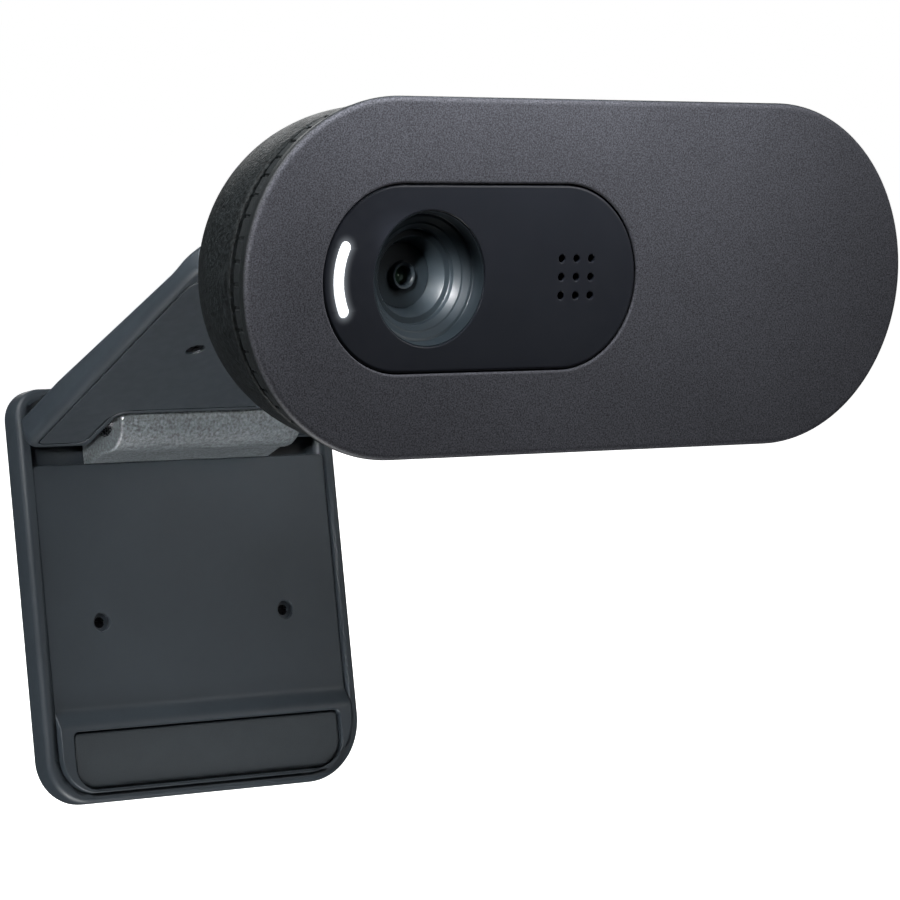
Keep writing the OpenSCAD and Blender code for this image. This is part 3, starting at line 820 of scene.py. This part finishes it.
def arm_panel_outline(inset):
    """The panel covers the underside from the ears to just short of the plate's front corners."""
    inset += ARM_PANEL_MARGIN
    notch = HINGE.y - KNUCKLE_R - 0.1
    points = []
    points += arc(ARM_HALF - 2, EAR_END - 2, 2 - inset, 0, 90, 10)
    points += arc(EAR_IN + 2.2, EAR_END - 2.2, 2.2 - inset, 90, 180, 8)
    points += arc(EAR_IN - 0.8, notch + 0.8, 0.8 + inset, 0, -90, 8)
    points += arc(0.8 - EAR_IN, notch + 0.8, 0.8 + inset, -90, -180, 8)
    points += arc(-EAR_IN - 2.2, EAR_END - 2.2, 2.2 - inset, 0, 90, 8)
    points += arc(2 - ARM_HALF, EAR_END - 2, 2 - inset, 90, 180, 10)
    points += arc(3.2 - ARM_HALF, ARM_PANEL_FRONT + 2, 3.2 - inset, 180, 270, 10)
    points += arc(ARM_HALF - 3.2, ARM_PANEL_FRONT + 2, 3.2 - inset, 270, 360, 10)
    return points


def make_arm_shell():
    shape = Shape(flat_place)
    sections = round_edge(0.85, 0, 1, 8) + [(0, FLAT_T / 2)]
    sections += list(reversed(round_edge(0.7, FLAT_T, -1, 6)))
    bottom, top = shape.wall(arm_outline, sections)
    pocket, floor = shape.wall(arm_panel_outline, hole_edge(0.1, 0) + [(0, ARM_PANEL_T)])
    shape.cap(bottom, pocket)
    shape.cap(floor)
    shape.cap(top)
    shape.slices((0, 1, 0), [PIVOT.y + 0.5 + i for i in range(20)] + [-10, -5, 0, 5, HINGE.y - 6, 11.6])

    def bend(co):
        z = co.z
        if z > FLAT_T * 0.6:
            z = z - FLAT_T + arm_top(co.y)
        elif z > FLAT_T * 0.4:
            z = arm_top(co.y) / 2
        z += arm_bottom(co.y) * (1 if z < 0.6 else 0)
        y = co.y
        inside = KNUCKLE_R + 0.3
        if abs(co.x) < EAR_IN and HINGE.y - inside < y < HINGE.y - 3:
            y = min(y, HINGE.y - math.sqrt(max(inside ** 2 - (z - HINGE.z) ** 2, 0)))
        return Vector((co.x, y, z))

    shape.bend(bend)
    plate = shape.finish("arm_shell_look", ARM, CLIP, 40)
    barrel_section = [(1.03, -BARREL_HALF), (PIVOT_R - 0.3, -BARREL_HALF), (PIVOT_R - 0.09, 0.09 - BARREL_HALF),
                      (PIVOT_R, 0.3 - BARREL_HALF), (PIVOT_R, BARREL_HALF - 0.3),
                      (PIVOT_R - 0.09, BARREL_HALF - 0.09), (PIVOT_R - 0.3, BARREL_HALF), (1.03, BARREL_HALF)]
    barrel = turned("barrel", ARM, barrel_section, CLIP, (PIVOT.y, PIVOT.z), 64, axis="X")
    return on(join("arm_shell_look", [plate, barrel]), "arm", "clip_plastic", "arm_shell")


def screw_hole(shape, at, front, back):
    """A stepped hole for a screw head, through a plate from front to back."""
    wide, step = shape.wall(disc(0.95, *at, steps=32), hole_edge(0.06, front) + [(0, front + 0.6)])
    narrow, end = shape.wall(disc(0.55, *at, steps=32), [(0, front + 0.6), (0, back)])
    shape.bridge(step, narrow)
    return wide, end


def make_arm_panel():
    shape = Shape(flat_place)
    gap = 0.12
    thickness = ARM_PANEL_T - 0.01
    sections = [(gap + inset, d) for inset, d in round_edge(0.12, 0, 1, 4)] + [(gap, thickness)]
    front, back = shape.wall(arm_panel_outline, sections)
    holes = [shape.wall(disc(0.95, *at, steps=32), hole_edge(0.1, 0) + [(0, thickness)]) for at in ARM_SCREWS]
    shape.cap(front, *(h[0] for h in holes))
    shape.cap(back, *(h[1] for h in holes))
    return on(shape.finish("arm_panel_look", ARM, CLIP), "arm", "clip_plastic", "arm_panel")


# ---- leg

def leg_face(z):
    """Depth of the leg panel's front at height z: it steps forward, over a soft ramp, to hold the pad."""
    turn = min(max((RAMP_TOP - z) / RAMP_RUN, 0), 1)
    return -RAMP_STEP * turn * turn * (3 - 2 * turn)


def make_leg_shell():
    shape = Shape(face_place)
    outer = rounded_rect(-LEG_HALF, LEG_HALF, -LEG_LEN, LEG_TOP, (3, 3, CORNER_A, CORNER_B), 16)
    front_d = LEG_FACE - 0.25
    sections = round_edge(0.6, front_d, 1, 6) + list(reversed(round_edge(1.5, LEG_BACK, -1, 8)))
    front, back = shape.wall(outer, sections)
    shape.cap(front)
    shape.cap(back)
    tray = shape.finish("leg_shell_look", LEG, CLIP, 40)
    pocket = Shape(face_place)
    inner = rounded_rect(-PANEL_HALF, PANEL_HALF, PANEL_BOTTOM, LEG_TOP - 0.95,
                         (2.2, 2.2, *PANEL_CORNERS), 14)
    first, last = pocket.wall(inner, [(0, 0), (0, LEG_FLOOR)])
    pocket.cap(first)
    pocket.cap(last)
    tray = carve(tray, pocket.finish("pocket", LEG, CLIP), 40)
    sweep = KNUCKLE_R + 0.45
    reach = PANEL_HALF + 0.02
    rod = turned("rod", LEG, [(0, -reach), (sweep, -reach), (sweep, reach), (0, reach)], CLIP, (0, 0), 96, axis="X")
    tray = carve(tray, rod, 40)
    return on(tray, "leg", "clip_plastic", "leg_shell")


def make_leg_panel():
    shape = Shape(face_place)
    gap = 0.12
    outline = rounded_rect(-PANEL_HALF + gap, PANEL_HALF - gap, PANEL_BOTTOM + gap, PANEL_TOP,
                           (0.5, 0.5, *(c - gap for c in PANEL_CORNERS)), 14)
    front, back = shape.wall(outline, round_edge(0.16, LEG_FACE, 1, 4) + [(0, LEG_FACE + PANEL_T)])
    holes = [screw_hole(shape, at, LEG_FACE, LEG_FACE + PANEL_T) for at in LEG_SCREWS]
    pad = rounded_rect(-PAD_HALF - PAD_GAP, PAD_HALF + PAD_GAP, PAD_LOW - PAD_GAP, PAD_HIGH + PAD_GAP,
                       [r + PAD_GAP for r in PAD_CORNERS], 10)
    pocket, floor = shape.wall(pad, hole_edge(0.12, LEG_FACE) + [(0, LEG_FACE + 1.2)])
    shape.cap(front, pocket, *(h[0] for h in holes))
    shape.cap(back, *(h[1] for h in holes))
    shape.cap(floor)
    shape.slices((0, 0, 1), [-28.0 - 0.2 * i for i in range(13)])
    behind = LEG_FACE + PANEL_T - 0.05
    shape.bend(lambda co: Vector((co.x, co.y + (leg_face(co.z) if co.y < behind else 0), co.z)))
    return on(shape.finish("leg_panel_look", LEG, CLIP, 40), "leg", "clip_plastic", "leg_panel")


def make_knuckle():
    """The grained hinge barrel and the web that joins it to the leg's panel."""
    points = arc(0, 0, KNUCKLE_R, 25, 285, 40)
    points += [(LEG_FACE + 0.02, PANEL_TOP), (LEG_FACE + PANEL_T, PANEL_TOP), (LEG_FACE + PANEL_T, -0.6)]
    outline = polygon(points)
    shape = Shape(side_place)
    edge = 0.3
    left = round_edge(edge, -KNUCKLE_HALF, 1, 4)
    right = list(reversed(round_edge(edge, KNUCKLE_HALF, -1, 4)))
    first, last = shape.wall(outline, left + right)
    bore_first, bore_last = shape.wall(disc(1.72, steps=40), [(0, -KNUCKLE_HALF), (0, KNUCKLE_HALF)])
    shape.cap(first, bore_first)
    shape.cap(last, bore_last)
    return on(shape.finish("leg_knuckle_look", LEG, KNUCKLE_GRAIN_AND_HIGHLIGHT), "leg", "clip_plastic", "leg_panel")


def make_pad():
    shape = Shape(face_place)
    front_d = LEG_FACE - RAMP_STEP + 0.35
    outline = rounded_rect(-PAD_HALF, PAD_HALF, PAD_LOW, PAD_HIGH, PAD_CORNERS, 12)
    first, last = shape.wall(outline, round_edge(0.35, front_d, 1, 5) + [(0, front_d + 1.18)])
    shape.cap(first)
    shape.cap(last)
    return on(shape.finish("leg_pad_look", LEG, RUBBER), "leg", "rubber", "leg_pad")


make_front_cover()
make_rear_shell()
make_window()
make_light()
make_hood()
make_retainer()
make_arm_shell()
make_arm_panel()
make_leg_shell()
make_leg_panel()
make_knuckle()
make_pad()

dress(OPTICS, "lens_barrel", "lens_holder")
dress(GLASS, "front_lens", "rear_lens", "ir_filter")
dress(CHIP, "image_sensor", "controller_chip")
dress(BOARD, "main_board")
dress(CONNECTOR, "board_connector")
dress(LIGHT, "status_led")
dress(RUBBER, "mic_gasket", "cable_gland")
dress(STEEL, "clock_crystal", "microphone", "board_screws", "tilt_pin", "tilt_washers", "hinge_pin", "hinge_sleeves")
dress(DARK_STEEL, "case_screws", "arm_screws", "leg_screws")


# ---- stage, light and camera

def floor_material():
    n = Nodes("pale_floor")
    n.link(n.blend(n.noise(60, 2.0), (0.86, 0.86, 0.86, 1), (0.9, 0.9, 0.9, 1)), n.shader.inputs["Base Color"])
    n.shader.inputs["Roughness"].default_value = 0.9
    n.shader.inputs["Specular IOR Level"].default_value = 0.1
    x = n.axis("X")
    y = n.axis("Y")
    radius = n.math("SQRT", n.math("ADD", n.math("MULTIPLY", x, x), n.math("MULTIPLY", y, y)))
    n.shader.inputs["Emission Color"].default_value = (1, 1, 1, 1)
    n.link(n.span(radius, 0.0, 0.3, 0.85, 1.0), n.shader.inputs["Emission Strength"])
    return n.material


def make_floor():
    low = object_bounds()[0][2]
    shape = Shape(flat_place)
    edge = shape.ring(disc(40000, steps=64), 0, low / MM - 45)
    shape.cap(edge)
    floor = shape.finish("floor", Matrix.Scale(MM, 4), floor_material())
    floor.visible_glossy = False
    floor.visible_diffuse = False
    floor.visible_shadow = False


def area_light(name, place, target, size, watts, spread=180, mirrored=True):
    data = bpy.data.lights.new(name, "AREA")
    data.shape = "RECTANGLE"
    data.size, data.size_y = size
    data.energy = watts
    data.spread = math.radians(spread)
    lamp = bpy.data.objects.new(name, data)
    bpy.context.scene.collection.objects.link(lamp)
    lamp.location = place
    lamp.visible_glossy = mirrored
    lamp.rotation_euler = (Vector(target) - Vector(place)).to_track_quat("-Z", "Y").to_euler()


def make_world():
    """A plain white room that is seen, while the lamps give the light."""
    world = bpy.data.worlds.new("studio")
    world.use_nodes = True
    world.node_tree.nodes["Background"].inputs["Color"].default_value = (1, 1, 1, 1)
    world.cycles_visibility.diffuse = False
    world.cycles_visibility.glossy = False
    world.cycles_visibility.transmission = False
    bpy.context.scene.world = world


def make_camera():
    """Left of the lens and a little above it, turned slightly about its own axis."""
    azimuth, elevation, roll = (math.radians(a) for a in (-36.258, 6.635, 2.006))
    back = Vector((math.sin(azimuth) * math.cos(elevation), -math.cos(azimuth) * math.cos(elevation),
                   math.sin(elevation)))
    right = Vector((math.cos(azimuth), math.sin(azimuth), 0))
    up = back.cross(right)
    turned_right = math.cos(roll) * right + math.sin(roll) * up
    turned_up = math.cos(roll) * up - math.sin(roll) * right
    data = bpy.data.cameras.new("camera")
    data.sensor_width = 36
    data.lens = 161.6
    data.shift_x = 0.0094
    data.shift_y = 0.0395
    data.clip_start = 0.01
    data.clip_end = 20
    camera = bpy.data.objects.new("camera", data)
    bpy.context.scene.collection.objects.link(camera)
    turn = Matrix((turned_right, turned_up, back)).transposed().to_4x4()
    camera.matrix_world = Matrix.Translation(FACE_CENTRE + Vector((-0.21982, -0.27839, 0.02234))) @ turn
    bpy.context.scene.camera = camera


make_floor()
make_world()
area_light("face_top", (-0.014, -0.066, 0.050), (-0.008, -0.05, 0.01), (0.08, 0.01), 0.069, mirrored=False)
area_light("upper_left", (-0.30, 0.02, 0.35), (-0.02, -0.04, 0.02), (0.05, 0.2), 2.1)
area_light("left", (-0.6, 0.0, 0.1), (0, -0.02, 0.0), (0.2, 0.3), 3.0, mirrored=False)
area_light("right", (0.5, -0.5, 0.3), (0, -0.02, 0.0), (0.3, 0.3), 1.2)
area_light("clip_below", (-0.02, -0.045, -0.13), (0, -0.005, -0.01), (0.08, 0.05), 0.23)
lens_at = FACE_CENTRE + Vector((LENS_X * MM + 0.0035, 0.003, -0.001))
area_light("lens_left", lens_at + Vector((-0.035, -0.024, 0.022)), lens_at, (0.002, 0.002), 0.00026, 8)
hinge_at = Vector(JOINTS["leg_swing"]["pos_m"]) + Vector((0, 0, 0.005))
area_light("knuckle", hinge_at + Vector((-0.12, -0.13, 0.04)), hinge_at, (0.03, 0.03), 0.0048, 8)
pad_at = Vector(MOUNTS["leg_grip"]["pos_m"]) + Vector((0, 0, 0.002))
area_light("pad", pad_at + Vector((-0.12, -0.10, 0.09)), pad_at, (0.03, 0.03), 0.0032, 8)
area_light("right_side", (0.6, 0.10, 0.12), (0, 0, 0), (0.3, 0.3), 3.2, mirrored=False)
area_light("back", (0.35, 0.65, 0.30), (0, 0, 0), (0.4, 0.3), 1.6)
make_camera()

view = bpy.context.scene.view_settings
view.view_transform = "Standard"
view.look = "None"
